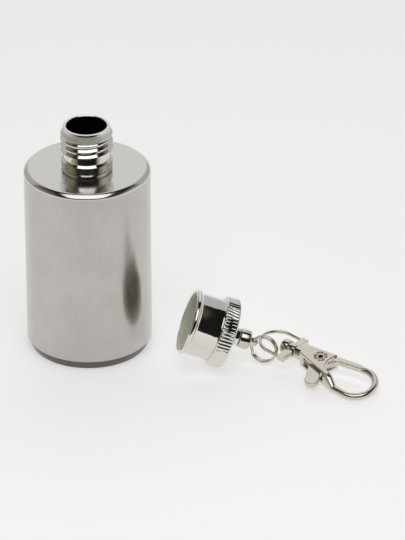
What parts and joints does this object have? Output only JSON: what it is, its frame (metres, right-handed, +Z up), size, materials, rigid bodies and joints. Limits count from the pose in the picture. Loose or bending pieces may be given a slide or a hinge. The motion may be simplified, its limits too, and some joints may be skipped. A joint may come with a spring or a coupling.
{
  "type": "screw cap keychain bottle",
  "caption": "Small satin steel bottle with a threaded neck, its knurled screw cap taken off and joined by a swivel, split ring and loop to a lobster clasp.",
  "frame": {"origin": "centre of the circle that the bottle's foot stands on", "axes": "+Z up along the bottle, +X towards the cap and clasp that lie beside it, +Y away from the viewer"},
  "size_m": [0.0866, 0.0463, 0.0603],
  "materials": {
    "satin_steel": "satin, fine lengthwise grain",
    "polished_steel": "polished",
    "cap_chrome": "mirror bright",
    "liner_plastic": "smooth, semi-matte",
    "seal": "matte",
    "nickel": "bright nickel plate",
    "spring_steel": "drawn wire"
  },
  "bodies": {
    "bottle": {"bottle_tube": "satin_steel", "shoulder_plate": "polished_steel", "base_cup": "satin_steel", "neck": "polished_steel"},
    "swivel": {"swivel_barrel": "nickel", "swivel_eye": "nickel"},
    "cap": {"cap_shell": "cap_chrome", "grip_ring": "cap_chrome", "cap_liner": "liner_plastic", "cap_gasket": "seal", "swivel_stud": "cap_chrome"},
    "ring": {"split_ring": "nickel"},
    "loop": {"clasp_loop": "nickel"},
    "clasp": {"clasp_body": "nickel", "clasp_rivet": "nickel", "trigger_pivot": "nickel", "trigger_spring": "spring_steel"},
    "trigger": {"trigger": "nickel"}
  },
  "joints": [
    {"name": "cap_swing", "type": "hinge", "parent": "bottle", "child": "swivel", "pos_m": [-0.01443, 0.002, 0.02382], "axis": [0.6448, -0.623, 0.4429], "range_deg": [0, 132.5]},
    {"name": "cap_spin", "type": "hinge", "parent": "swivel", "child": "cap", "pos_m": [0.02425, -0.01185, 0.01202], "axis": [0.9378, 0.0131, -0.3469], "continuous": true},
    {"name": "ring_swing", "type": "hinge", "parent": "swivel", "child": "ring", "pos_m": [0.04057, -0.01162, 0.00599], "axis": [0.3469, 0.0048, 0.9379], "range_deg": [-35, 60]},
    {"name": "loop_swing", "type": "hinge", "parent": "ring", "child": "loop", "pos_m": [0.04322, -0.01279, 0.00453], "axis": [0.3384, 0.932, -0.13], "range_deg": [-60, 60]},
    {"name": "clasp_spin", "type": "hinge", "parent": "loop", "child": "clasp", "pos_m": [0.05105, -0.01354, 0.00429], "axis": [0.772, -0.6251, -0.1149], "continuous": true},
    {"name": "trigger_press", "type": "hinge", "parent": "clasp", "child": "trigger", "pos_m": [0.05709, -0.01793, 0.00351], "axis": [-0.0435, -0.2323, 0.9717], "range_deg": [-22, 0], "stiffness_Nm_per_rad": 0.01, "springref_deg": 8.59, "deforming": ["trigger_spring"]}
  ]
}
